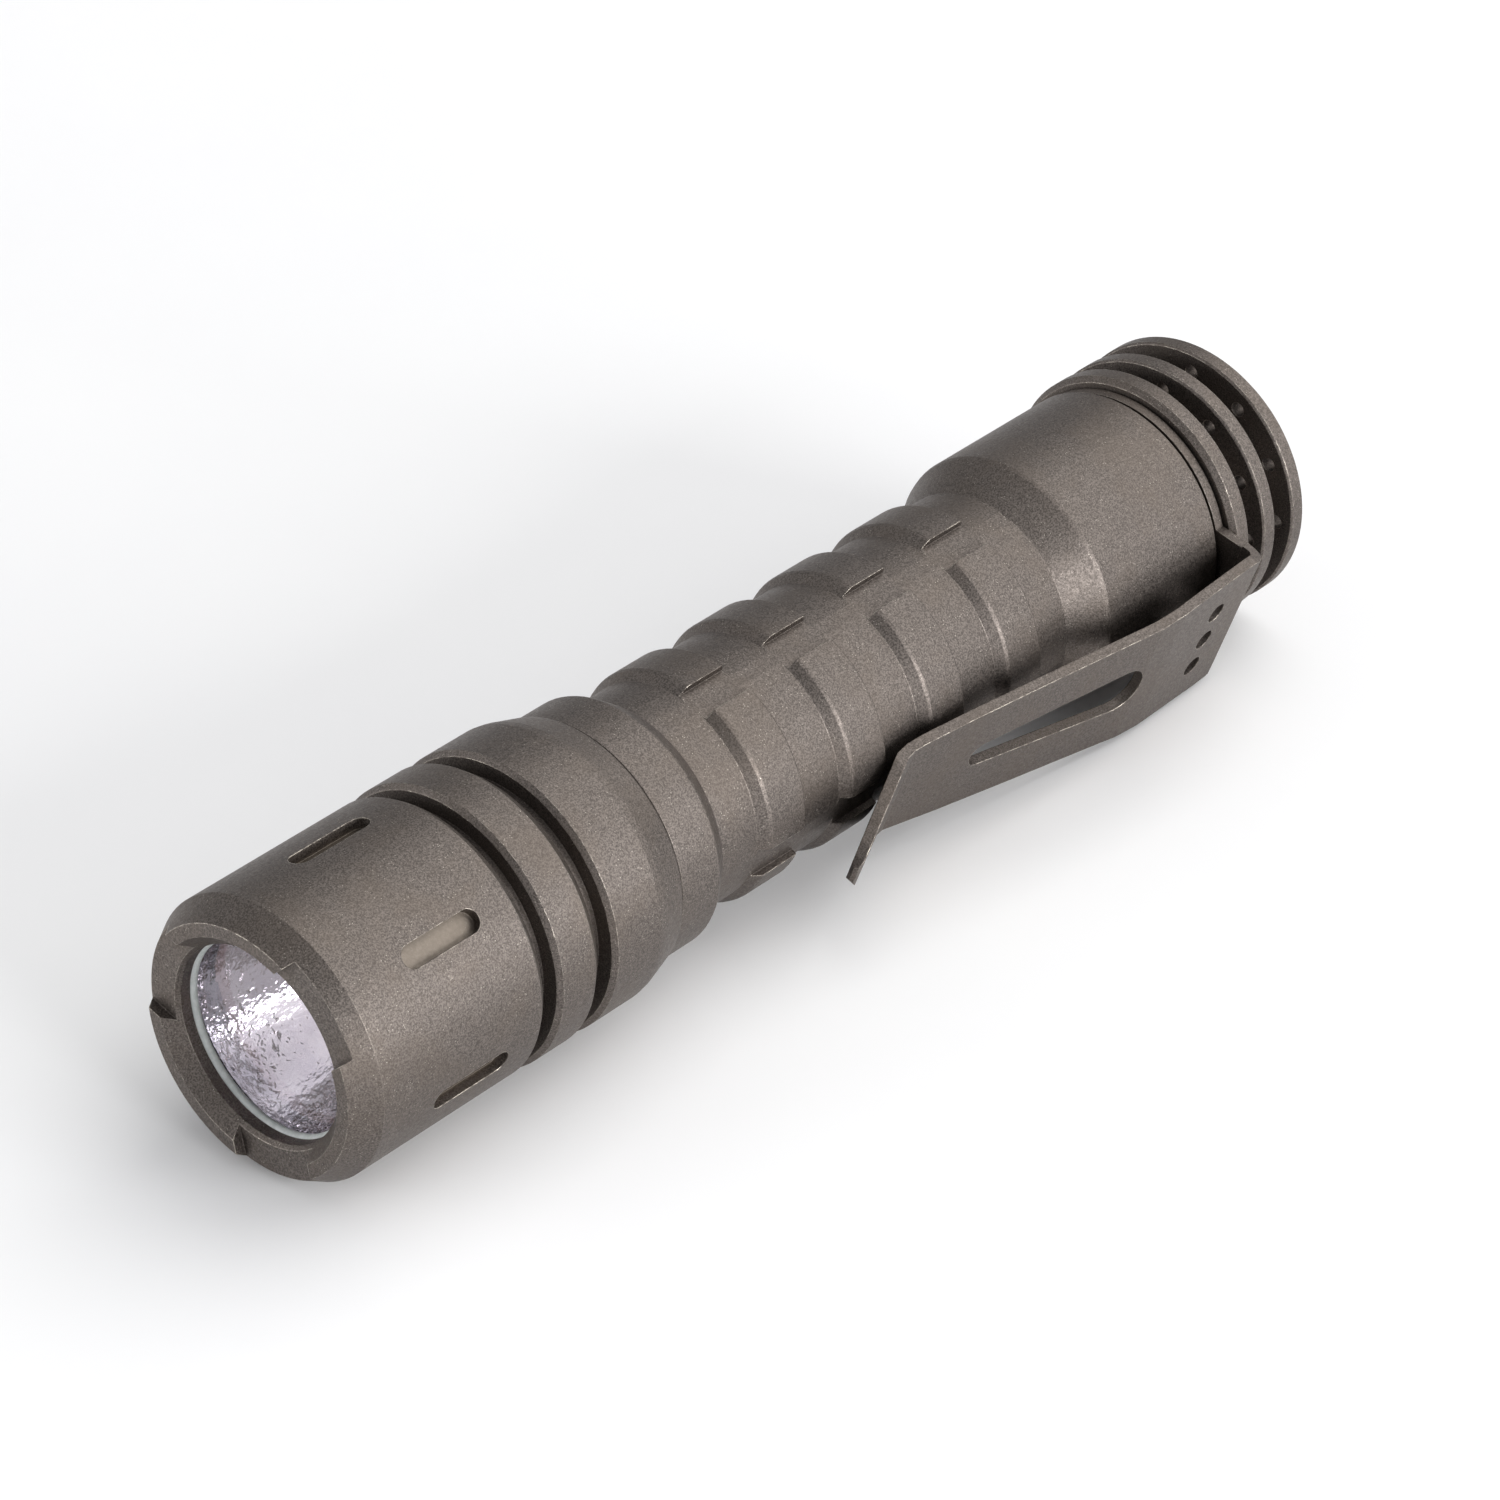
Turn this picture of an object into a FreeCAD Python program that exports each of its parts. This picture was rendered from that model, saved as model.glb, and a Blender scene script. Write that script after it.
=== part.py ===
import FreeCAD, Part
import math
import os
import re

import Sketcher
from FreeCAD import Placement, Rotation, Vector

# Pocket flashlight for one 14500 cell, lying on its side.
# Every sub-part is drawn along its own X axis, with x = 0 at the front face of the bezel,
# and is then placed in the shared frame: +X to the tail, +Z up, origin under the middle.
# Lengths in millimetres, angles in degrees.

DIMS = {
    # outside of the light
    "total_len": 98.7,
    "side_shift": 1.81,
    "head_rad": 10.5,
    "collar_rad": 10.6,
    "fin_rad": 10.5,
    "edge": 0.35,
    # bezel
    "bezel_len": 17.2,
    "bezel_slope": 2.1,
    "face_rad": 9.3,
    "mouth_rad": 8.3,
    "lip_rad": 7.3,
    "lip_start": 1.1,
    "notch_width": 7.2,
    "notch_depth": 0.8,
    "slot_front": 7.0,
    "slot_back": 13.9,
    "slot_rad": 0.85,
    "slot_depth": 0.8,
    "first_slot": 47.0,
    # optics
    "seat_start": 1.95,
    "lens_start": 2.65,
    "lens_thick": 1.0,
    "lens_rad": 8.45,
    "bore_rad": 8.5,
    "reflector_len": 11.35,
    "reflector_focus": 1.26,
    "focus_gap": 1.21,
    "led_side": 3.45,
    "board_thick": 1.6,
    # head shell behind the bezel
    "thread_start": 5.5,
    "thread_rad": 9.0,
    "groove_rad": 9.05,
    "ring_start": 18.4,
    "ring_end": 22.5,
    "collar_start": 23.7,
    "cone_start": 28.2,
    "seam": 31.3,
    "seam_rad": 9.75,
    "light_rad": 8.3,
    # light engine
    "pill_start": 17.6,
    "pill_end": 24.0,
    "ring_thick": 1.3,
    # body tube
    "neck_rad": 8.55,
    "neck_start": 25.6,
    "tube_bore": 7.3,
    "tube_ring_rad": 9.55,
    "tube_ring_end": 35.2,
    "tube_slope_end": 36.5,
    "base_rad": 8.3,
    "pad_rad": 8.9,
    "pad_start": 41.1,
    "pad_len": 3.58,
    "pad_pitch": 8.43,
    "pad_slope": 0.8,
    "channel_width": 2.6,
    "first_channel": 16.4,
    "tail_slope": 73.5,
    "tail_start": 76.4,
    "tail_rad": 9.9,
    "tail_end": 89.1,
    "socket_rad": 8.2,
    "socket_start": 79.4,
    # cell
    "cell_rad": 7.0,
    "cell_start": 27.9,
    "cell_end": 76.5,
    "nipple_start": 26.4,
    "nipple_rad": 2.9,
    # pocket clip
    "sheet": 0.8,
    "clip_angle": 110.0,
    "clip_ring_rad": 9.7,
    "clip_back": 90.0,
    "clip_width": 12.6,
    "clip_fold": 10.4,
    "clip_top": 12.2,
    "clip_touch": 9.35,
    "clip_tip": 46.0,
    # tailcap
    "cap_start": 90.15,
    "spigot_start": 80.5,
    "spigot_rad": 8.15,
    "cap_floor_rad": 8.3,
    "fin_one_end": 91.9,
    "fin_two_start": 93.6,
    "fin_two_end": 95.0,
    "fin_three_start": 97.0,
    "hole_rad": 0.55,
    "hole_ring": 9.0,
    "first_hole": 3.5,
    "cavity_rad": 6.9,
    "cavity_end": 95.4,
    "button_rad": 4.4,
    "stroke": 1.2,
}


def words(expression):
    """The expression with each dimension's name pointed at the spreadsheet."""
    return re.sub(
        r"[a-z][a-z_]*",
        lambda found: "Dims." + found.group() if found.group() in DIMS else found.group(),
        str(expression),
    )


def value(expression):
    return float(sheet.evalExpression(words(expression)))


doc = FreeCAD.newDocument("Flashlight")
sheet = doc.addObject("Spreadsheet::Sheet", "Dims")
for row, (alias, number) in enumerate(DIMS.items(), start=1):
    sheet.set("A%d" % row, alias)
    sheet.set("B%d" % row, str(number))
    sheet.setAlias("B%d" % row, alias)
doc.recompute()

PARTS = []


def place(item, angle="0"):
    """Put a finished sub-part in the shared frame, rolled about the light's axis."""
    item.Placement = Placement(Vector(0, 0, 0), Rotation(Vector(1, 0, 0), 1))
    item.setExpression("Placement.Base.x", words("-total_len / 2"))
    item.setExpression("Placement.Base.y", words("side_shift"))
    item.setExpression("Placement.Base.z", words("collar_rad"))
    item.setExpression("Placement.Rotation.Angle", words(angle))
    PARTS.append(item)
    return item


def new_body(name):
    body = doc.addObject("PartDesign::Body", name)
    body.Label = name
    return body


def plane(body, role):
    return [feature for feature in body.Origin.OriginFeatures if feature.Role == role][0]


def new_sketch(body, name, role="XZ_Plane", lift=None):
    """A sketch on one of the body's origin planes, lifted along its normal if asked."""
    sketch = body.newObject("Sketcher::SketchObject", name)
    sketch.AttachmentSupport = [(plane(body, role), "")]
    sketch.MapMode = "FlatFace"
    if lift is not None:
        sketch.setExpression("AttachmentOffset.Base.z", words(lift))
    return sketch


def bind(sketch, kind, reference, expression):
    """A driving distance constraint from the sketch origin, bound to the spreadsheet."""
    size = value(expression)
    if abs(size) < 1e-7:
        axis = -2 if kind == "DistanceX" else -1
        sketch.addConstraint(Sketcher.Constraint("PointOnObject", *reference, axis))
    elif size > 0:
        index = sketch.addConstraint(Sketcher.Constraint(kind, -1, 1, *reference, size))
        sketch.setExpression("Constraints[%d]" % index, words(expression))
    else:
        index = sketch.addConstraint(Sketcher.Constraint(kind, *reference, -1, 1, -size))
        sketch.setExpression("Constraints[%d]" % index, words("-(%s)" % expression))


def polygon(sketch, corners):
    """A closed outline whose corners are pairs of expressions."""
    points = [Vector(value(across), value(up), 0) for across, up in corners]
    first = sketch.GeometryCount
    count = len(points)
    for i in range(count):
        sketch.addGeometry(Part.LineSegment(points[i], points[(i + 1) % count]), False)
    for i in range(count):
        following = first + (i + 1) % count
        sketch.addConstraint(Sketcher.Constraint("Coincident", first + i, 2, following, 1))
    for i, (across, up) in enumerate(corners):
        bind(sketch, "DistanceX", (first + i, 1), across)
        bind(sketch, "DistanceY", (first + i, 1), up)


def stadium(sketch, start, start_rad, end, end_rad):
    """A round-ended slot along the sketch's horizontal axis; the ends may differ in radius."""
    left = Vector(value(start), 0, 0)
    right = Vector(value(end), 0, 0)
    small, large = value(start_rad), value(end_rad)
    up = Vector(0, 1, 0)
    first = sketch.GeometryCount
    quarter = math.pi / 2
    normal = Vector(0, 0, 1)
    sketch.addGeometry(
        [
            Part.ArcOfCircle(Part.Circle(left, normal, small), quarter, 3 * quarter),
            Part.LineSegment(left - up * small, right - up * large),
            Part.ArcOfCircle(Part.Circle(right, normal, large), -quarter, quarter),
            Part.LineSegment(right + up * large, left + up * small),
        ],
        False,
    )
    for one, one_end, other, other_end in ((0, 2, 1, 1), (1, 2, 2, 1), (2, 2, 3, 1), (3, 2, 0, 1)):
        sketch.addConstraint(
            Sketcher.Constraint("Tangent", first + one, one_end, first + other, other_end)
        )
    for arc, centre, radius in ((first, start, start_rad), (first + 2, end, end_rad)):
        sketch.addConstraint(Sketcher.Constraint("PointOnObject", arc, 3, -1))
        bind(sketch, "DistanceX", (arc, 3), centre)
        index = sketch.addConstraint(Sketcher.Constraint("Radius", arc, value(radius)))
        sketch.setExpression("Constraints[%d]" % index, words(radius))


def circle(sketch, across, up, radius):
    index = sketch.addGeometry(
        Part.Circle(Vector(value(across), value(up), 0), Vector(0, 0, 1), value(radius)), False
    )
    bind(sketch, "DistanceX", (index, 3), across)
    bind(sketch, "DistanceY", (index, 3), up)
    size = sketch.addConstraint(Sketcher.Constraint("Radius", index, value(radius)))
    sketch.setExpression("Constraints[%d]" % size, words(radius))


def turn(body, name, profile):
    """Add material turned about the X axis from a profile of (station, radius) corners."""
    sketch = new_sketch(body, name + "_profile")
    polygon(sketch, profile)
    doc.recompute()
    turned = body.newObject("PartDesign::Revolution", name)
    turned.Profile = sketch
    turned.ReferenceAxis = (sketch, ["H_Axis"])
    turned.Angle = 360
    body.Tip = turned
    doc.recompute()
    return turned


def turned_part(name, profile, angle="0"):
    body = new_body(name)
    turn(body, name + "_turned", profile)
    return place(body, angle)


def pocket(body, name, sketch, depth, reverse=False, both=False):
    """Cut a sketch away, and make sure that something was cut."""
    before = body.Shape.Volume
    cut = body.newObject("PartDesign::Pocket", name)
    cut.Profile = sketch
    cut.Length = value(depth)
    cut.setExpression("Length", words(depth))
    cut.Reversed = reverse
    cut.Midplane = both
    body.Tip = cut
    doc.recompute()
    if body.Shape.Volume > before - 1e-3:
        raise RuntimeError(name + " cut nothing")
    return cut


def around(body, name, feature, count):
    """Repeat a feature evenly about the light's axis."""
    before = body.Shape.Volume
    pattern = body.newObject("PartDesign::PolarPattern", name)
    pattern.Originals = [feature]
    pattern.Axis = (plane(body, "X_Axis"), [""])
    pattern.Angle = 360
    pattern.Occurrences = count
    body.Tip = pattern
    doc.recompute()
    if abs(body.Shape.Volume - before) < 1e-3:
        raise RuntimeError(name + " repeated nothing")
    return pattern


def o_ring(name, station, radius, thickness):
    ring = doc.addObject("Part::Torus", name)
    ring.Label = name
    ring.setExpression("Radius1", words(radius))
    ring.setExpression("Radius2", words(thickness))
    ring.Placement = Placement(Vector(0, 0, 0), Rotation(Vector(0, 1, 0), 90))
    ring.setExpression("Placement.Base.x", words("%s - total_len / 2" % station))
    ring.setExpression("Placement.Base.y", words("side_shift"))
    ring.setExpression("Placement.Base.z", words("collar_rad"))
    PARTS.append(ring)
    return ring


def coil_spring(name, start, end, radius, wire, turns):
    """A compression spring along the light's axis, its wire eight-sided."""
    path = doc.addObject("Part::Helix", name + "_path")
    path.setExpression("Radius", words(radius))
    path.setExpression("Height", words("%s - %s - 2 * %s" % (end, start, wire)))
    path.setExpression("Pitch", words("(%s - %s - 2 * %s) / %s" % (end, start, wire, turns)))
    path.SegmentLength = 1
    section = doc.addObject("Part::RegularPolygon", name + "_wire")
    section.Polygon = 8
    section.setExpression("Circumradius", words(wire))
    section.Placement = Placement(Vector(0, 0, 0), Rotation(Vector(1, 0, 0), 90))
    section.setExpression("Placement.Base.x", words(radius))
    doc.recompute()
    spring = doc.addObject("Part::Sweep", name)
    spring.Label = name
    spring.Sections = [section]
    spring.Spine = (path, ["Edge%d" % (i + 1) for i in range(len(path.Shape.Edges))])
    spring.Solid = True
    spring.Frenet = True
    spring.Placement = Placement(Vector(0, 0, 0), Rotation(Vector(0, 1, 0), 90))
    spring.setExpression("Placement.Base.x", words("%s + %s - total_len / 2" % (start, wire)))
    spring.setExpression("Placement.Base.y", words("side_shift"))
    spring.setExpression("Placement.Base.z", words("collar_rad"))
    PARTS.append(spring)
    return spring


# ---------------------------------------------------------------- bezel and optics
bezel = new_body("bezel")
turn(
    bezel,
    "bezel_turned",
    [
        ("0", "mouth_rad"),
        ("0", "face_rad"),
        ("bezel_slope", "head_rad"),
        ("bezel_len - edge - 0.15", "head_rad"),
        ("bezel_len", "head_rad - edge"),
        ("bezel_len", "thread_rad"),
        ("thread_start", "thread_rad"),
        ("thread_start", "bore_rad"),
        ("seat_start", "bore_rad"),
        ("seat_start", "lip_rad"),
        ("lip_start", "lip_rad"),
    ],
)
sketch = new_sketch(bezel, "bezel_notch_outline", "YZ_Plane")
polygon(
    sketch,
    [
        ("-notch_width / 2", "lip_rad - 1.5"),
        ("notch_width / 2", "lip_rad - 1.5"),
        ("notch_width / 2", "head_rad + 1"),
        ("-notch_width / 2", "head_rad + 1"),
    ],
)
notch = pocket(bezel, "bezel_notch", sketch, "notch_depth", reverse=True)
around(bezel, "bezel_notches", notch, 3)
sketch = new_sketch(bezel, "bezel_slot_outline", "XY_Plane", lift="head_rad + 1")
stadium(sketch, "slot_front + slot_rad", "slot_rad", "slot_back - slot_rad", "slot_rad")
slot = pocket(bezel, "bezel_slot", sketch, "slot_depth + 1")
around(bezel, "bezel_slots", slot, 6)
place(bezel, "first_slot")

o_ring("lens_oring", "lens_start - 0.35", "lip_rad + 0.15", "0.345")

turned_part(
    "lens",
    [
        ("lens_start", "0"),
        ("lens_start", "lens_rad - 0.15"),
        ("lens_start + 0.15", "lens_rad"),
        ("lens_start + lens_thick - 0.15", "lens_rad"),
        ("lens_start + lens_thick", "lens_rad - 0.15"),
        ("lens_start + lens_thick", "0"),
    ],
)

# The bowl is a paraboloid; its vertex lies behind the reflector's rear opening.
REFLECTOR_START = "(lens_start + lens_thick)"
REFLECTOR_END = "(lens_start + lens_thick + reflector_len)"
BOWL_STEPS = 12
bowl = []
for step in range(BOWL_STEPS + 1):
    from_vertex = "(focus_gap + (reflector_len - 0.5) * %d / %d)" % (step, BOWL_STEPS)
    bowl.append(
        (
            REFLECTOR_END + " + focus_gap - " + from_vertex,
            "2 * sqrt(reflector_focus * %s)" % from_vertex,
        )
    )
turned_part(
    "reflector",
    bowl
    + [
        (REFLECTOR_START, "2 * sqrt(reflector_focus * (focus_gap + reflector_len - 0.5)) + 0.1"),
        (REFLECTOR_START, "lens_rad"),
        ("thread_start - 0.1", "lens_rad"),
        ("thread_start - 0.1", "light_rad - 0.1"),
        (REFLECTOR_END + " - 1", "light_rad - 0.1"),
        (REFLECTOR_END + " - 1", "light_rad - 2"),
        (REFLECTOR_END, "light_rad - 2"),
    ],
)

# ---------------------------------------------------------------- light engine
turned_part(
    "led_ring",
    [
        (REFLECTOR_END, "2.6"),
        (REFLECTOR_END, "5.2"),
        ("pill_start - board_thick", "5.2"),
        ("pill_start - board_thick", "2.6"),
    ],
)

emitter = new_body("led_emitter")
sketch = new_sketch(emitter, "led_base_outline", "YZ_Plane", lift="pill_start - board_thick - 0.7")
half = "led_side / 2"
polygon(sketch, [("-" + half, "-" + half), (half, "-" + half), (half, half), ("-" + half, half)])
doc.recompute()
led_base = emitter.newObject("PartDesign::Pad", "led_base")
led_base.Profile = sketch
led_base.Length = 0.7
emitter.Tip = led_base
doc.recompute()
turn(
    emitter,
    "led_dome",
    [
        ("pill_start - board_thick - 1.5", "0"),
        ("pill_start - board_thick - 1.4", "0.7"),
        ("pill_start - board_thick - 1.1", "1.2"),
        ("pill_start - board_thick - 0.6", "1.5"),
        ("pill_start - board_thick - 0.5", "1.5"),
        ("pill_start - board_thick - 0.5", "0"),
    ],
)
place(emitter)

led_board = new_body("led_board")
turn(
    led_board,
    "led_board_turned",
    [
        ("pill_start - board_thick", "0"),
        ("pill_start - board_thick", "light_rad - 0.3"),
        ("pill_start", "light_rad - 0.3"),
        ("pill_start", "0"),
    ],
)
sketch = new_sketch(led_board, "led_wire_notch_outline", "YZ_Plane", lift="pill_start")
circle(sketch, "0", "light_rad - 0.3", "1.1")
wire_notch = pocket(led_board, "led_wire_notch", sketch, "board_thick")
around(led_board, "led_wire_notches", wire_notch, 4)
place(led_board)

pill = new_body("pill")
turn(
    pill,
    "pill_turned",
    [
        ("pill_start", "0"),
        ("pill_start", "light_rad"),
        ("pill_end", "light_rad"),
        ("pill_end", "light_rad - 0.9"),
        ("pill_start + 1.8", "light_rad - 0.9"),
        ("pill_start + 1.8", "0"),
    ],
)
sketch = new_sketch(pill, "pill_wire_hole_outline", "YZ_Plane", lift="pill_start")
circle(sketch, "0", "light_rad - 1.9", "0.7")
wire_hole = pocket(pill, "pill_wire_hole", sketch, "1.8", reverse=True)
around(pill, "pill_wire_holes", wire_hole, 2)
place(pill)

turned_part(
    "driver_board",
    [
        ("pill_end - 1.2", "0"),
        ("pill_end - 1.2", "light_rad - 1"),
        ("pill_end", "light_rad - 1"),
        ("pill_end", "0"),
    ],
)

driver_ring = new_body("driver_ring")
turn(
    driver_ring,
    "driver_ring_turned",
    [
        ("pill_end", "light_rad - 2.2"),
        ("pill_end", "light_rad"),
        ("pill_end + ring_thick", "light_rad"),
        ("pill_end + ring_thick", "light_rad - 2.2"),
    ],
)
sketch = new_sketch(driver_ring, "driver_ring_notch_outline", "YZ_Plane", lift="pill_end + ring_thick")
circle(sketch, "0", "light_rad - 2.2", "0.6")
key_notch = pocket(driver_ring, "driver_ring_notch", sketch, "ring_thick")
around(driver_ring, "driver_ring_notches", key_notch, 2)
place(driver_ring)

turned_part(
    "front_contact",
    [
        ("pill_end", "0"),
        ("pill_end", "2.4"),
        ("pill_end + 0.8", "2.4"),
        ("pill_end + 1.1", "1.7"),
        ("nipple_start - 0.3", "1.5"),
        ("nipple_start", "1.2"),
        ("nipple_start", "0"),
    ],
)

# ---------------------------------------------------------------- head shell
turned_part(
    "head_shell",
    [
        ("thread_start + 0.1", "light_rad + 0.05"),
        ("thread_start + 0.1", "thread_rad - 0.05"),
        ("bezel_len", "thread_rad - 0.05"),
        ("bezel_len", "groove_rad"),
        ("ring_start", "groove_rad"),
        ("ring_start", "collar_rad - edge"),
        ("ring_start + edge", "collar_rad"),
        ("ring_end - 2 * edge", "collar_rad"),
        ("ring_end", "collar_rad - 1.6 * edge"),
        ("ring_end", "groove_rad"),
        ("collar_start", "groove_rad"),
        ("collar_start", "collar_rad - edge"),
        ("collar_start + edge", "collar_rad"),
        ("cone_start", "collar_rad"),
        ("cone_start + 0.6", "collar_rad - 0.1"),
        ("seam - 0.15", "seam_rad + 0.05"),
        ("seam", "seam_rad - 0.1"),
        ("seam", "neck_rad + 0.05"),
        ("neck_start - 0.2", "neck_rad + 0.05"),
        ("neck_start - 0.2", "light_rad + 0.05"),
    ],
)

# ---------------------------------------------------------------- body tube and cell
PAD_ROWS = 4
outside = []
for pad in range(PAD_ROWS):
    front = "(pad_start + %d * pad_pitch)" % pad
    outside += [
        (front + " - pad_slope", "base_rad"),
        (front + " - 0.1", "pad_rad - 0.08"),
        (front + " + 0.15", "pad_rad"),
        (front + " + pad_len - 0.12", "pad_rad"),
        (front + " + pad_len", "pad_rad - 0.1"),
        (front + " + pad_len + 0.05", "base_rad"),
    ]
tube = new_body("body_tube")
turn(
    tube,
    "tube_turned",
    [
        ("neck_start", "tube_bore"),
        ("neck_start", "neck_rad - 0.25"),
        ("neck_start + 0.3", "neck_rad"),
        ("seam - 2.1", "neck_rad"),
        ("seam - 2.1", "neck_rad - 0.7"),
        ("seam - 1.1", "neck_rad - 0.7"),
        ("seam - 1.1", "neck_rad"),
        ("seam", "neck_rad"),
        ("seam", "tube_ring_rad - 0.2"),
        ("seam + 0.2", "tube_ring_rad"),
        ("tube_ring_end - 0.1", "tube_ring_rad"),
        ("tube_ring_end + 0.1", "tube_ring_rad - 0.08"),
        ("tube_slope_end", "pad_rad - 0.3"),
        ("tube_slope_end + 0.05", "base_rad"),
    ]
    + outside
    + [
        ("tail_slope", "base_rad"),
        ("tail_start - 0.15", "tail_rad - 0.1"),
        ("tail_start + 0.15", "tail_rad"),
        ("tail_end - edge", "tail_rad"),
        ("tail_end", "tail_rad - edge"),
        ("tail_end", "socket_rad"),
        ("socket_start", "socket_rad"),
        ("socket_start", "tube_bore"),
    ],
)
sketch = new_sketch(tube, "channel_outline", "XY_Plane", lift="pad_rad + 1")
polygon(
    sketch,
    [
        ("tube_slope_end + 0.2", "-channel_width / 2"),
        ("tail_slope", "-channel_width / 2"),
        ("tail_slope", "channel_width / 2"),
        ("tube_slope_end + 0.2", "channel_width / 2"),
    ],
)
channel = pocket(tube, "channel", sketch, "pad_rad + 1.02 - base_rad")
around(tube, "channels", channel, 4)
place(tube, "first_channel")

o_ring("head_oring", "seam - 1.6", "neck_rad - 0.36", "0.34")
o_ring("tail_oring", "tail_end - 2", "socket_rad - 0.37", "0.33")

turned_part(
    "cell",
    [
        ("cell_start", "0"),
        ("cell_start", "cell_rad - 0.5"),
        ("cell_start + 0.5", "cell_rad"),
        ("cell_end - 0.4", "cell_rad"),
        ("cell_end", "cell_rad - 0.4"),
        ("cell_end", "0"),
    ],
)
turned_part(
    "cell_nipple",
    [
        ("nipple_start", "0"),
        ("nipple_start", "nipple_rad - 0.3"),
        ("nipple_start + 0.3", "nipple_rad"),
        ("cell_start", "nipple_rad"),
        ("cell_start", "0"),
    ],
)

# ---------------------------------------------------------------- pocket clip
clip_ring = new_body("clip_ring")
sketch = new_sketch(clip_ring, "clip_ring_outline", "YZ_Plane", lift="clip_back - sheet")
circle(sketch, "0", "0", "clip_ring_rad")
doc.recompute()
clip_disc = clip_ring.newObject("PartDesign::Pad", "clip_disc")
clip_disc.Profile = sketch
clip_disc.setExpression("Length", words("sheet"))
clip_ring.Tip = clip_disc
doc.recompute()
sketch = new_sketch(clip_ring, "clip_tab_outline", "YZ_Plane", lift="clip_back - sheet")
polygon(
    sketch,
    [
        ("-clip_width / 2 + 1", "socket_rad - 2"),
        ("clip_width / 2 - 1", "socket_rad - 2"),
        ("clip_width / 2 - 0.4", "clip_fold"),
        ("-clip_width / 2 + 0.4", "clip_fold"),
    ],
)
doc.recompute()
clip_tab = clip_ring.newObject("PartDesign::Pad", "clip_tab")
clip_tab.Profile = sketch
clip_tab.setExpression("Length", words("sheet"))
clip_ring.Tip = clip_tab
doc.recompute()
sketch = new_sketch(clip_ring, "clip_eye_outline", "YZ_Plane", lift="clip_back")
circle(sketch, "0", "0", "spigot_rad + 0.1")
pocket(clip_ring, "clip_eye", sketch, "sheet")
place(clip_ring, "clip_angle")

clip_arm = new_body("clip_arm")
sketch = new_sketch(clip_arm, "clip_side")
CREASE = "79"
BEND = "54.6"
polygon(
    sketch,
    [
        ("clip_back", "clip_fold"),
        ("clip_back", "clip_top - 1.1"),
        ("clip_back - 0.1", "clip_top - 0.6"),
        ("clip_back - 0.4", "clip_top - 0.2"),
        ("clip_back - 0.9", "clip_top"),
        (CREASE + " + 1.2", "clip_top + 0.36"),
        (CREASE + " - 1.2", "clip_top + 0.28"),
        (BEND + " + 1.2", "clip_touch + 0.12"),
        (BEND, "clip_touch"),
        (BEND + " - 0.8", "clip_touch + 0.15"),
        ("clip_tip + 0.6", "clip_top + 0.75"),
        ("clip_tip + 0.15", "clip_top + 0.8"),
        ("clip_tip", "clip_top + 0.5"),
        ("clip_tip + 0.2", "clip_top + 0.1"),
        (BEND + " - 1.1", "clip_touch + 0.12 - sheet"),
        (BEND, "clip_touch - sheet"),
        (BEND + " + 1.3", "clip_touch + 0.11 - sheet"),
        (CREASE + " - 1.1", "clip_top + 0.28 - sheet"),
        (CREASE + " + 1.1", "clip_top + 0.36 - sheet"),
        ("clip_back - 1.1", "clip_top - sheet"),
        ("clip_back - sheet", "clip_top - 1.1"),
        ("clip_back - sheet", "clip_fold"),
    ],
)
doc.recompute()
clip_strip = clip_arm.newObject("PartDesign::Pad", "clip_strip")
clip_strip.Profile = sketch
clip_strip.setExpression("Length", words("clip_width"))
clip_strip.Midplane = True
clip_arm.Tip = clip_strip
doc.recompute()

# Half widths of the arm from its fold to its tip.
EDGE = [
    ("clip_back + 1", "clip_width / 2 - 0.6"),
    ("clip_back - 0.2", "clip_width / 2 - 0.35"),
    ("clip_back - 1.3", "clip_width / 2 - 0.05"),
    ("clip_back - 2.5", "clip_width / 2"),
    ("81", "clip_width * 0.485"),
    ("76.5", "clip_width * 0.46"),
    ("67", "clip_width * 0.42"),
    ("60", "clip_width * 0.385"),
    ("56", "clip_width * 0.355"),
    ("53", "clip_width * 0.32"),
    ("49.5", "clip_width * 0.22"),
    ("47.3", "clip_width * 0.145"),
    ("46.5", "clip_width * 0.1"),
    ("clip_tip", "clip_width * 0.05"),
]
sketch = new_sketch(clip_arm, "clip_outline", "XY_Plane", lift="clip_top + 1")
polygon(sketch, [("40", "-clip_width"), ("95", "-clip_width"), ("95", "clip_width"), ("40", "clip_width")])
polygon(
    sketch,
    EDGE + [(station, "-(%s)" % half_width) for station, half_width in reversed(EDGE)],
)
pocket(clip_arm, "clip_trim", sketch, "6")
sketch = new_sketch(clip_arm, "clip_slot_outline", "XY_Plane", lift="clip_top + 1")
stadium(sketch, "62.4", "1.1", "75.9", "2.05")
pocket(clip_arm, "clip_slot", sketch, "6")
sketch = new_sketch(clip_arm, "clip_holes_outline", "XY_Plane", lift="clip_top + 1")
for offset in ("-2.9", "0", "2.9"):
    circle(sketch, "85.4", offset, "0.85")
pocket(clip_arm, "clip_holes", sketch, "6")
place(clip_arm, "clip_angle")

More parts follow.
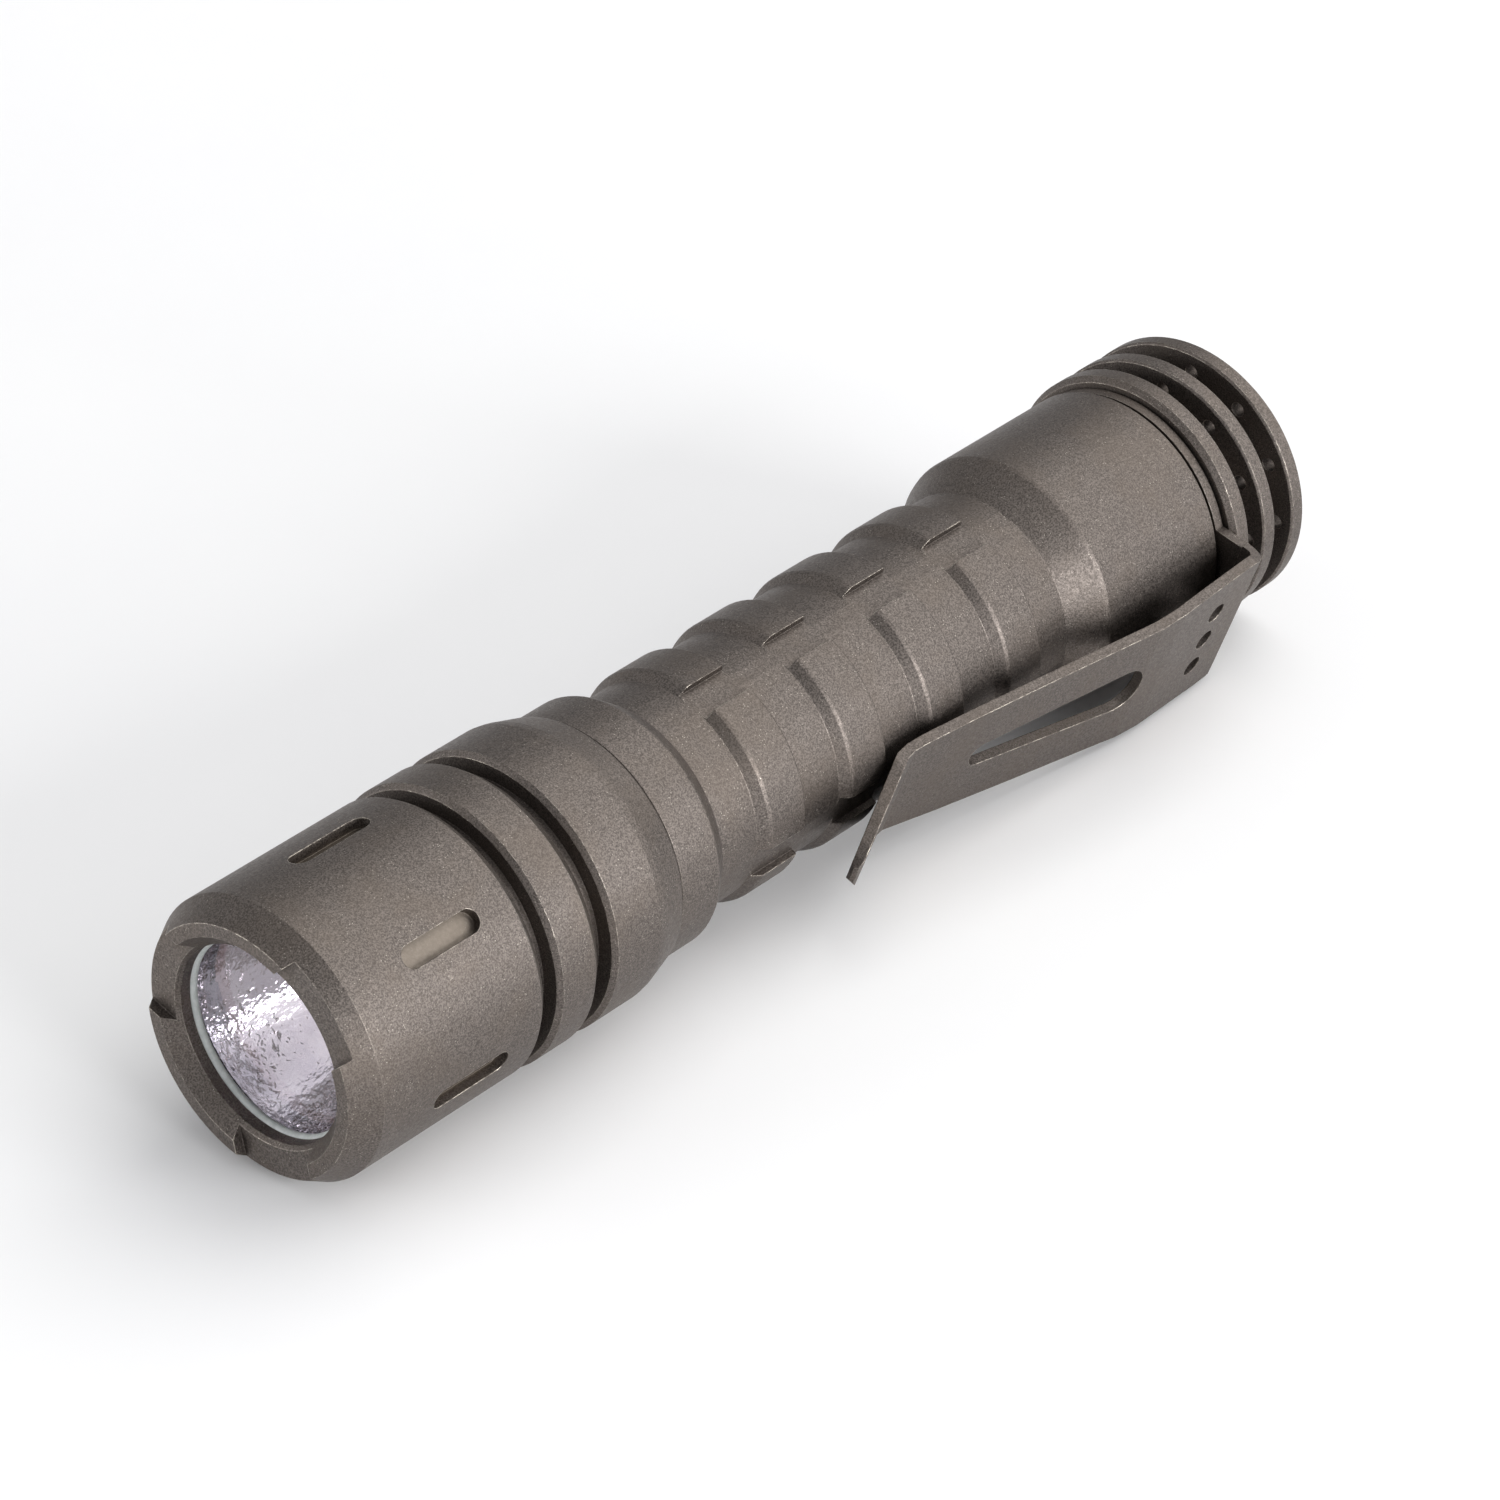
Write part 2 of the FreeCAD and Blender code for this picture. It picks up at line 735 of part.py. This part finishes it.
# ---------------------------------------------------------------- tailcap and switch
tailcap = new_body("tailcap")
turn(
    tailcap,
    "tailcap_turned",
    [
        ("spigot_start", "cavity_rad"),
        ("spigot_start", "spigot_rad - 0.25"),
        ("spigot_start + 0.3", "spigot_rad"),
        ("tail_end - 2.5", "spigot_rad"),
        ("tail_end - 2.5", "spigot_rad - 0.65"),
        ("tail_end - 1.5", "spigot_rad - 0.65"),
        ("tail_end - 1.5", "spigot_rad"),
        ("cap_start", "spigot_rad"),
        ("cap_start", "fin_rad - 0.4"),
        ("cap_start + 0.4", "fin_rad"),
        ("fin_one_end - 0.15", "fin_rad"),
        ("fin_one_end", "fin_rad - 0.15"),
        ("fin_one_end", "cap_floor_rad"),
        ("fin_two_start", "cap_floor_rad"),
        ("fin_two_start", "fin_rad - 0.15"),
        ("fin_two_start + 0.15", "fin_rad"),
        ("fin_two_end - 0.15", "fin_rad"),
        ("fin_two_end", "fin_rad - 0.15"),
        ("fin_two_end", "cap_floor_rad"),
        ("fin_three_start", "cap_floor_rad"),
        ("fin_three_start", "fin_rad - 0.15"),
        ("fin_three_start + 0.15", "fin_rad"),
        ("total_len - 0.5", "fin_rad"),
        ("total_len", "fin_rad - 0.5"),
        ("total_len", "button_rad + 1.2"),
        ("total_len - 0.8", "button_rad + 0.1"),
        ("cavity_end", "button_rad + 0.1"),
        ("cavity_end", "cavity_rad"),
    ],
)
sketch = new_sketch(tailcap, "fin_hole_outline", "YZ_Plane", lift="total_len")
circle(sketch, "0", "hole_ring", "hole_rad")
fin_hole = pocket(tailcap, "fin_hole", sketch, "total_len - cap_start")
around(tailcap, "fin_holes", fin_hole, 12)
place(tailcap, "first_hole")

BOARD_FRONT = "(spigot_start + 0.4 + ring_thick)"
BOARD_BACK = "(spigot_start + 1.6 + ring_thick)"
SWITCH_BACK = "(spigot_start + 9)"
FLANGE_FRONT = "(cavity_end - 1.2)"

turned_part(
    "switch_ring",
    [
        ("spigot_start + 0.4", "cavity_rad - 1.6"),
        ("spigot_start + 0.4", "cavity_rad - 0.02"),
        (BOARD_FRONT, "cavity_rad - 0.02"),
        (BOARD_FRONT, "cavity_rad - 1.6"),
    ],
)
turned_part(
    "switch_board",
    [
        (BOARD_FRONT, "0"),
        (BOARD_FRONT, "cavity_rad - 0.1"),
        (BOARD_BACK, "cavity_rad - 0.1"),
        (BOARD_BACK, "0"),
    ],
)
switch_body = new_body("switch_body")
sketch = new_sketch(switch_body, "switch_outline", "YZ_Plane", lift=BOARD_BACK)
polygon(sketch, [("-4", "-4"), ("4", "-4"), ("4", "4"), ("-4", "4")])
doc.recompute()
switch_block = switch_body.newObject("PartDesign::Pad", "switch_block")
switch_block.Profile = sketch
switch_block.setExpression("Length", words("%s - %s" % (SWITCH_BACK, BOARD_BACK)))
switch_body.Tip = switch_block
doc.recompute()
sketch = new_sketch(switch_body, "switch_hole_outline", "YZ_Plane", lift=SWITCH_BACK)
circle(sketch, "0", "0", "1.7")
pocket(switch_body, "switch_hole", sketch, "3.6")
place(switch_body)

SEAT_FRONT = "(cell_end + %s - %s)" % (FLANGE_FRONT, SWITCH_BACK)
coil_spring("tail_spring", "cell_end", SEAT_FRONT, "3.3", "0.25", "4")
turned_part(
    "spring_seat",
    [
        (SEAT_FRONT, "0"),
        (SEAT_FRONT, "4.1"),
        (SEAT_FRONT + " + 0.3", "4.4"),
        (BOARD_FRONT, "4.4"),
        (BOARD_FRONT, "0"),
    ],
)
coil_spring("button_spring", SWITCH_BACK, FLANGE_FRONT, "3.3", "0.25", "4")

turned_part(
    "switch_plunger",
    [
        (SWITCH_BACK + " - 2", "0"),
        (SWITCH_BACK + " - 2", "1.6"),
        (SWITCH_BACK + " + 1.5", "1.6"),
        (SWITCH_BACK + " + 1.5", "0"),
    ],
)
turned_part(
    "button",
    [
        (SWITCH_BACK + " + 1.5", "0"),
        (SWITCH_BACK + " + 1.5", "2.2"),
        (FLANGE_FRONT, "2.2"),
        (FLANGE_FRONT, "cavity_rad - 1"),
        ("cavity_end", "cavity_rad - 1"),
        ("cavity_end", "button_rad"),
        ("total_len - 2.4", "button_rad"),
        ("total_len - 2.4", "button_rad - 0.65"),
        ("total_len - 1.5", "button_rad - 0.65"),
        ("total_len - 1.5", "button_rad"),
        ("total_len - 0.5", "button_rad"),
        ("total_len - 0.15", "button_rad - 0.35"),
        ("total_len - 0.15", "button_rad - 1.1"),
        ("total_len - 0.5", "button_rad - 2"),
        ("total_len - 0.6", "0"),
    ],
)
o_ring("button_oring", "total_len - 1.95", "button_rad - 0.31", "0.33")

# ---------------------------------------------------------------- check and write
doc.recompute()
for item in doc.Objects:
    if "Invalid" in item.State or "Error" in item.State:
        raise RuntimeError("%s is %s" % (item.Label, item.State))
os.makedirs("parts", exist_ok=True)
for item in PARTS:
    if item.Shape.isNull() or not item.Shape.isValid() or item.Shape.Volume <= 0:
        raise RuntimeError(item.Label + " is not a sound solid")
    item.Shape.exportStep(os.path.join("parts", item.Label + ".step"))
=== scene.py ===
import math

import bmesh
import bpy
from mathutils import Matrix, Vector


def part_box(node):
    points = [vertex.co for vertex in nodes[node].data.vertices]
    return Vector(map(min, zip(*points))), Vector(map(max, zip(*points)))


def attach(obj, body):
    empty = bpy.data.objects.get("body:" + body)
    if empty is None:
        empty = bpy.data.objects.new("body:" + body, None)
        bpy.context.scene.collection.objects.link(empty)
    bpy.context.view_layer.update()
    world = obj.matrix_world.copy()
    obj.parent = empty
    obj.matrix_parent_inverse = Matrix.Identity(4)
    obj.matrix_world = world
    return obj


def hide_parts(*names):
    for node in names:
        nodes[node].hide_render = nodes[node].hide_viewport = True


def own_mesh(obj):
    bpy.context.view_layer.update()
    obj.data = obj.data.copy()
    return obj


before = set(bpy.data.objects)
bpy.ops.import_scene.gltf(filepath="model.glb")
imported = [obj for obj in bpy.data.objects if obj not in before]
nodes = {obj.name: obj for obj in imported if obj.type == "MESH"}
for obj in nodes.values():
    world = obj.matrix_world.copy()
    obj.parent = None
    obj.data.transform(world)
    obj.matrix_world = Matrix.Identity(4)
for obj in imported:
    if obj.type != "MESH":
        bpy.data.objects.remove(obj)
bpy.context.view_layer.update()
MM = 0.001

AXIS_HEIGHT = 10.6 * MM
AXIS_SIDE = 1.81 * MM


# ------------------------------------------------------------------ node helpers
class Shader:
    """A small builder for one procedural material."""

    def __init__(self, name):
        self.material = bpy.data.materials.new(name)
        self.material.use_nodes = True
        self.tree = self.material.node_tree
        self.bsdf = self.tree.nodes["Principled BSDF"]
        self.place = self.node("ShaderNodeTexCoord").outputs["Object"]

    def node(self, kind, **settings):
        made = self.tree.nodes.new(kind)
        for key, value in settings.items():
            setattr(made, key, value)
        return made

    def link(self, source, target):
        self.tree.links.new(source, target)

    def put(self, target, value):
        """Link a socket or set a plain value."""
        if isinstance(value, bpy.types.NodeSocket):
            self.link(value, target)
        else:
            target.default_value = value

    def noise(self, size_mm, detail=2.0, rough=0.5, stretch=None):
        """Cloudy noise; size_mm is the width of one blotch."""
        texture = self.node("ShaderNodeTexNoise", noise_type="FBM")
        texture.inputs["Scale"].default_value = 1 / (size_mm * MM)
        texture.inputs["Detail"].default_value = detail
        texture.inputs["Roughness"].default_value = rough
        where = self.place
        if stretch is not None:
            mapping = self.node("ShaderNodeMapping")
            mapping.inputs["Scale"].default_value = stretch
            self.link(where, mapping.inputs["Vector"])
            where = mapping.outputs["Vector"]
        self.link(where, texture.inputs["Vector"])
        return texture.outputs["Fac"]

    def cells(self, size_mm, feature="F1"):
        """Distance within cells of about size_mm."""
        texture = self.node("ShaderNodeTexVoronoi", feature=feature)
        texture.inputs["Scale"].default_value = 1 / (size_mm * MM)
        self.link(self.place, texture.inputs["Vector"])
        return texture.outputs["Distance"]

    def ramp(self, value, low, high, start=0.0, end=1.0, smooth=True):
        """Map value from low..high to start..end, clamped."""
        mapped = self.node("ShaderNodeMapRange")
        mapped.interpolation_type = "SMOOTHSTEP" if smooth else "LINEAR"
        sockets = ("From Min", "From Max", "To Min", "To Max")
        for socket, number in zip(sockets, (low, high, start, end)):
            mapped.inputs[socket].default_value = number
        self.link(value, mapped.inputs["Value"])
        return mapped.outputs["Result"]

    def math(self, operation, first, second=0.0):
        made = self.node("ShaderNodeMath", operation=operation)
        self.put(made.inputs[0], first)
        self.put(made.inputs[1], second)
        return made.outputs[0]

    def times(self, *values):
        """All the values multiplied."""
        product = values[0]
        for value in values[1:]:
            product = self.math("MULTIPLY", product, value)
        return product

    def mix(self, factor, first, second):
        """Blend two colours, each an RGB tuple or a socket."""
        made = self.node("ShaderNodeMix", data_type="RGBA", blend_type="MIX")
        self.put(made.inputs["Factor"], factor)
        for socket, colour in ((made.inputs[6], first), (made.inputs[7], second)):
            self.put(socket, (*colour, 1) if isinstance(colour, tuple) else colour)
        return made.outputs[2]

    def bump(self, height, distance_mm, strength=1.0, normal=None):
        made = self.node("ShaderNodeBump")
        made.inputs["Distance"].default_value = distance_mm * MM
        made.inputs["Strength"].default_value = strength
        self.link(height, made.inputs["Height"])
        if normal is not None:
            self.link(normal, made.inputs["Normal"])
        return made.outputs["Normal"]

    def edges(self, radius_mm):
        """(rounded normal, mask that is 1 on an edge)."""
        bevel = self.node("ShaderNodeBevel", samples=6)
        bevel.inputs["Radius"].default_value = radius_mm * MM
        flat = self.node("ShaderNodeNewGeometry").outputs["Normal"]
        dot = self.node("ShaderNodeVectorMath", operation="DOT_PRODUCT")
        self.link(bevel.outputs["Normal"], dot.inputs[0])
        self.link(flat, dot.inputs[1])
        return bevel.outputs["Normal"], self.ramp(dot.outputs["Value"], 0.99, 0.86)

    def open_air(self, reach_mm):
        """1 on open faces and outer edges, less in grooves, holes and inner corners."""
        made = self.node("ShaderNodeAmbientOcclusion", samples=4)
        made.inputs["Distance"].default_value = reach_mm * MM
        return made.outputs["AO"]

    def split(self):
        """The three coordinates of the surface point, in metres."""
        parts = self.node("ShaderNodeSeparateXYZ")
        self.link(self.place, parts.inputs[0])
        return parts.outputs["X"], parts.outputs["Y"], parts.outputs["Z"]

    def finish(self, **inputs):
        """Fill the main shader's inputs; underscores stand for spaces."""
        for name, value in inputs.items():
            socket = self.bsdf.inputs[name.replace("_", " ")]
            if isinstance(value, tuple) and len(value) == 3 and socket.type == "RGBA":
                value = (*value, 1)
            self.put(socket, value)
        return self.material


def titanium(name, grain=1.0, worn=1.0, zones=None):
    """Blasted and tumbled titanium: warm grey, sparkling grain, rubbed edges, small pits, and painted
    shade darkening grooves, holes and inner corners.
    """
    s = Shader(name)
    base, warm = (0.138, 0.120, 0.109), (0.142, 0.116, 0.096)
    grey, pale, deep = (tuple(share * c for c in base) for share in (0.64, 1.42, 0.7))
    sparkle, rub = (0.62, 0.57, 0.50), (0.56, 0.51, 0.44)
    # The second colour on the next line is painted shade for grooves, holes and inner corners.
    pit, painted_crevice_shade = (0.045, 0.04, 0.037), (0.04, 0.034, 0.03)

    coarse = s.noise(0.24, 3.0, 0.6)
    colour = s.mix(s.ramp(s.noise(0.12, 2.0, 0.6), 0.36, 0.64), grey, pale)
    colour = s.mix(s.ramp(coarse, 0.42, 0.66, 0.0, 0.22), colour, deep)
    colour = s.mix(s.ramp(s.noise(6.0, 4.0, 0.6), 0.4, 0.68, 0.0, 0.35), colour, warm)
    specks = s.times(s.ramp(s.cells(0.24), 0.20, 0.05), s.ramp(s.noise(1.3, 2.0), 0.44, 0.62))
    colour = s.mix(s.times(specks, 0.7 * grain), colour, sparkle)
    pits = s.times(s.ramp(s.cells(0.7), 0.13, 0.06), s.ramp(s.noise(2.6, 2.0), 0.53, 0.67))
    colour = s.mix(s.times(pits, 0.6), colour, pit)
    if zones is not None:
        colour = zones(s, colour)

    rounded, edge = s.edges(0.11)
    open_air = s.open_air(0.7)
    broken = s.ramp(s.noise(0.55, 3.0, 0.65), 0.42, 0.60, 0.04, 1.0)
    rubbed = s.times(edge, broken, worn, s.ramp(open_air, 0.80, 0.96))
    # Painted shade: the colour is darkened where the occlusion value is low, in grooves, holes and
    # inner corners.
    colour = s.mix(s.ramp(open_air, 0.45, 0.85, 0.35, 0.0), colour, painted_crevice_shade)
    colour = s.mix(rubbed, colour, rub)
    rough = s.math("SUBTRACT", s.ramp(coarse, 0.3, 0.7, 0.44, 0.58), s.times(rubbed, 0.14))
    height = s.math("SUBTRACT", s.noise(0.12, 3.0, 0.7), s.times(pits, 1.2))
    normal = s.bump(height, 0.02, 0.6 * grain, rounded)
    return s.finish(Base_Color=colour, Metallic=1.0, Roughness=rough, Normal=normal)


def pale_slots(s, colour):
    """The bezel's closed slots, all six alike, have floors of a paler finish than the barrel."""
    start, end, floor_low, floor_high = -42.5 * MM, -35.4 * MM, 9.4 * MM, 9.8 * MM
    x, y, z = s.split()
    side = s.math("SUBTRACT", y, AXIS_SIDE)
    rise = s.math("SUBTRACT", z, AXIS_HEIGHT)
    radius = s.math("SQRT", s.math("ADD", s.times(side, side), s.times(rise, rise)))
    slot = s.times(
        s.math("GREATER_THAN", x, start),
        s.math("LESS_THAN", x, end),
        s.ramp(radius, floor_high + 0.15 * MM, floor_high),
        s.math("GREATER_THAN", radius, floor_low),
    )
    return s.mix(s.times(slot, 0.75), colour, (0.21, 0.18, 0.15))


def brass(name):
    s = Shader(name)
    swirl = s.noise(0.35, 3.0, 0.6, stretch=(12, 1, 1))
    colour = s.mix(s.ramp(swirl, 0.3, 0.7), (0.60, 0.42, 0.16), (0.78, 0.58, 0.27))
    rough = s.ramp(s.noise(0.8, 3.0), 0.3, 0.7, 0.22, 0.38)
    normal = s.bump(swirl, 0.01, 0.4, s.edges(0.1)[0])
    return s.finish(Base_Color=colour, Metallic=1.0, Roughness=rough, Normal=normal)


def plated(name, colour_a=(0.62, 0.60, 0.56), colour_b=(0.8, 0.79, 0.76)):
    s = Shader(name)
    streak = s.noise(0.3, 4.0, 0.6)
    colour = s.mix(s.ramp(streak, 0.3, 0.7), colour_a, colour_b)
    rough = s.ramp(s.noise(0.6, 3.0), 0.3, 0.7, 0.16, 0.32)
    return s.finish(Base_Color=colour, Metallic=1.0, Roughness=rough, Normal=s.bump(streak, 0.008, 0.4))


def rubber(name, low, high, rough=0.6):
    s = Shader(name)
    mottled = s.noise(0.5, 4.0, 0.6)
    colour = s.mix(s.ramp(mottled, 0.3, 0.7), low, high)
    fine = s.noise(0.12, 2.0)
    return s.finish(
        Base_Color=colour,
        Roughness=s.ramp(fine, 0.3, 0.7, rough - 0.1, rough + 0.1),
        Normal=s.bump(fine, 0.01, 0.3),
    )


def plastic(name, low, high, rough=0.4):
    s = Shader(name)
    cloud = s.noise(1.8, 4.0, 0.6)
    fine = s.noise(0.15, 2.0)
    colour = s.mix(s.ramp(cloud, 0.3, 0.7), low, high)
    return s.finish(
        Base_Color=colour,
        Roughness=s.ramp(fine, 0.3, 0.7, rough - 0.06, rough + 0.1),
        Normal=s.bump(fine, 0.006, 0.3, s.edges(0.12)[0]),
    )


def circuit(name):
    s = Shader(name)
    tracks = s.cells(1.6, "DISTANCE_TO_EDGE")
    colour = s.mix(s.ramp(tracks, 0.06, 0.1), (0.02, 0.16, 0.07), (0.008, 0.085, 0.04))
    rough = s.ramp(s.noise(0.4), 0.3, 0.7, 0.2, 0.4)
    return s.finish(Base_Color=colour, Roughness=rough, Normal=s.bump(tracks, 0.02, 0.4))


def dimpled_mirror(name):
    """The reflector's orange-peel bowl: a bare mirror whose light and dark come from the room alone."""
    s = Shader(name)
    peel = s.noise(0.70, 2.0, 0.55)
    swell = s.noise(2.4, 2.0, 0.5)
    normal = s.bump(peel, 0.075, 1.0, s.bump(swell, 0.10, 0.7))
    colour = s.mix(s.ramp(s.noise(3.0, 2.0), 0.3, 0.7), (0.76, 0.74, 0.77), (0.84, 0.82, 0.84))
    rough = s.ramp(peel, 0.3, 0.7, 0.03, 0.06)
    return s.finish(Base_Color=colour, Metallic=1.0, Roughness=rough, Normal=normal)


def coated_glass(name):
    """Flat lens with a violet anti-reflection coating."""
    s = Shader(name)
    smear = s.noise(3.0, 4.0, 0.6)
    return s.finish(
        Base_Color=s.mix(s.ramp(smear, 0.3, 0.7), (0.95, 0.93, 0.97), (1.0, 0.98, 1.0)),
        Roughness=s.ramp(smear, 0.3, 0.8, 0.0, 0.02),
        IOR=1.5,
        Transmission_Weight=1.0,
        Thin_Film_Thickness=330.0,
        Thin_Film_IOR=1.38,
    )


def phosphor(name):
    s = Shader(name)
    colour = s.mix(s.ramp(s.noise(0.4, 3.0), 0.3, 0.7), (0.85, 0.66, 0.12), (0.95, 0.80, 0.28))
    return s.finish(Base_Color=colour, Roughness=s.ramp(s.noise(0.2), 0.3, 0.7, 0.25, 0.4))


def wrapped(name):
    """The cell's shrink wrap."""
    s = Shader(name)
    shade = s.ramp(s.noise(4.0, 3.0), 0.3, 0.7)
    colour = s.mix(shade, (0.02, 0.10, 0.30), (0.03, 0.14, 0.38))
    stripe = s.math("COMPARE", s.split()[0], -15 * MM)
    stripe.node.inputs[2].default_value = 3.5 * MM
    colour = s.mix(stripe, colour, (0.75, 0.76, 0.74))
    rough = s.ramp(s.noise(0.6), 0.3, 0.7, 0.22, 0.34)
    return s.finish(Base_Color=colour, Roughness=rough, Coat_Weight=0.3)


FINISH = {
    "bezel": titanium("ti_bezel", zones=pale_slots),
    "head_shell": titanium("ti_head"),
    "body_tube": titanium("ti_tube"),
    "tailcap": titanium("ti_cap"),
    "clip_ring": titanium("ti_ring"),
    "clip_arm": titanium("ti_clip", grain=0.6, worn=0.8),
    "button": titanium("ti_button"),
    "lens": coated_glass("coated_lens"),
    "lens_oring": rubber("pale_rubber", (0.46, 0.49, 0.48), (0.58, 0.61, 0.60), 0.45),
    "reflector": dimpled_mirror("reflector_bowl"),
    "led_ring": plastic("white_plastic", (0.78, 0.78, 0.74), (0.86, 0.86, 0.82)),
    "led_emitter": phosphor("phosphor"),
    "led_board": plastic("white_mask", (0.74, 0.75, 0.74), (0.82, 0.82, 0.80), 0.3),
    "pill": brass("turned_brass"),
    "driver_board": circuit("driver_mask"),
    "driver_ring": brass("brass_ring"),
    "front_contact": brass("brass_contact"),
    "head_oring": rubber("black_rubber", (0.012, 0.012, 0.012), (0.03, 0.03, 0.03)),
    "tail_oring": rubber("black_rubber_tail", (0.012, 0.012, 0.012), (0.03, 0.03, 0.03)),
    "button_oring": rubber("black_rubber_button", (0.012, 0.012, 0.012), (0.03, 0.03, 0.03)),
    "cell": wrapped("shrink_wrap"),
    "cell_nipple": plated("nickel"),
    "switch_ring": plated("turned_aluminium"),
    "switch_board": circuit("switch_mask"),
    "switch_body": plastic("black_plastic", (0.015, 0.015, 0.016), (0.03, 0.03, 0.03)),
    "switch_plunger": plastic("plunger_plastic", (0.72, 0.71, 0.66), (0.8, 0.79, 0.74)),
    "tail_spring": plated("gold_wire", (0.72, 0.58, 0.28), (0.85, 0.70, 0.38)),
    "spring_seat": brass("brass_seat"),
    "button_spring": plated("steel_wire"),
}
for name, material in FINISH.items():
    mesh = nodes[name].data
    mesh.materials.clear()
    mesh.materials.append(material)


# ------------------------------------------------------------------ return spring
def round_spring(name, node, wire, turns, sides=12, steps=40):
    """A round-wire spring along X in the box of a CAD node, with its end coils lying flat."""
    low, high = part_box(node)
    ring = (high.y - low.y) / 2 - wire
    count = int(turns * steps)
    flat = 0.6 * steps  # steps of each end coil that don't climb
    centres = []
    for i in range(count + 1):
        angle = 2 * math.pi * i / steps
        share = min(max((i - flat) / (count - 2 * flat), 0.0), 1.0)
        x = low.x + wire + share * (high.x - low.x - 2 * wire)
        out = Vector((0, math.cos(angle), math.sin(angle)))
        centres.append((Vector((x, AXIS_SIDE, AXIS_HEIGHT)) + out * ring, out))
    mesh = bmesh.new()
    across = Vector((1, 0, 0))
    loops = []
    for centre, out in centres:
        loops.append([
            mesh.verts.new(centre + (out * math.cos(a) + across * math.sin(a)) * wire)
            for a in (2 * math.pi * k / sides for k in range(sides))
        ])
    for one, two in zip(loops, loops[1:]):
        for k in range(sides):
            mesh.faces.new((one[k], one[(k + 1) % sides], two[(k + 1) % sides], two[k]))
    mesh.faces.new(loops[0])
    mesh.faces.new(reversed(loops[-1]))
    bmesh.ops.recalc_face_normals(mesh, faces=mesh.faces)
    data = bpy.data.meshes.new(name)
    mesh.to_mesh(data)
    mesh.free()
    for face in data.polygons:
        face.use_smooth = True
    piece = bpy.data.objects.new(name, data)
    bpy.context.scene.collection.objects.link(piece)
    data.materials.append(FINISH[node])
    return piece


spring = round_spring("return_spring", "button_spring", wire=0.25 * MM, turns=5)
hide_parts("button_spring")
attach(spring, "tail")
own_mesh(spring)


# ------------------------------------------------------------------ floor, light, camera
def floor_material():
    s = Shader("pale_table")
    cloud = s.noise(60.0, 3.0)
    colour = s.mix(s.ramp(cloud, 0.3, 0.7), (0.86, 0.86, 0.87), (0.88, 0.88, 0.885))
    return s.finish(Base_Color=colour, Roughness=s.ramp(s.noise(1.5, 3.0), 0.3, 0.7, 0.5, 0.6))


bpy.ops.mesh.primitive_plane_add(size=4.0, location=(0, 0, 0))
floor = bpy.context.object
floor.name = "table_top"
floor.data.materials.append(floor_material())

world = bpy.data.worlds.new("studio")
bpy.context.scene.world = world
world.use_nodes = True
sky = world.node_tree.nodes["Background"]
sky.inputs["Color"].default_value = (0.97, 0.98, 1.0, 1)
sky.inputs["Strength"].default_value = 0.50


def toward(azimuth, elevation):
    """A unit direction; azimuth runs from -Y toward +X, in degrees."""
    a, e = math.radians(azimuth), math.radians(elevation)
    return Vector((math.sin(a) * math.cos(e), -math.cos(a) * math.cos(e), math.sin(e)))


def soft_box(name, azimuth, elevation, distance, size, power, colour=(1, 1, 1)):
    """A rectangular light aimed at the middle of the table."""
    light = bpy.data.lights.new(name, "AREA")
    light.shape = "RECTANGLE"
    light.size, light.size_y = size
    light.energy = power
    light.color = colour
    lamp = bpy.data.objects.new(name, light)
    bpy.context.scene.collection.objects.link(lamp)
    away = toward(azimuth, elevation)
    lamp.location = away * distance
    lamp.rotation_euler = away.to_track_quat("Z", "Y").to_euler()


soft_box("key", 66, 52, 1.0, (1.3, 1.3), 8.5, (1.0, 0.99, 0.97))
soft_box("near_side", 3, 16, 1.2, (0.9, 0.5), 15.0)
soft_box("front_low", -128, 12, 1.2, (0.8, 0.35), 5.0)

CAMERA_AZIMUTH, CAMERA_ELEVATION = -48.08, 33.92
CAMERA_DISTANCE = 419.67 * MM
AIM_LEFT, AIM_DOWN = 0.347 * MM, 0.896 * MM  # the view's centre from the middle of the light

camera = bpy.data.objects.new("camera", bpy.data.cameras.new("camera"))
bpy.context.scene.collection.objects.link(camera)
camera.data.lens = 144.2
camera.data.sensor_width = 36
camera.data.clip_start = 0.01
back = toward(CAMERA_AZIMUTH, CAMERA_ELEVATION)
right = Vector((0, 0, 1)).cross(back).normalized()
up = back.cross(right)
aim = Vector((0, AXIS_SIDE, AXIS_HEIGHT)) - right * AIM_LEFT - up * AIM_DOWN
turn = Matrix((right, up, back)).transposed().to_4x4()
camera.matrix_world = Matrix.Translation(aim + back * CAMERA_DISTANCE) @ turn
bpy.context.scene.camera = camera
bpy.context.scene.view_settings.view_transform = "Standard"
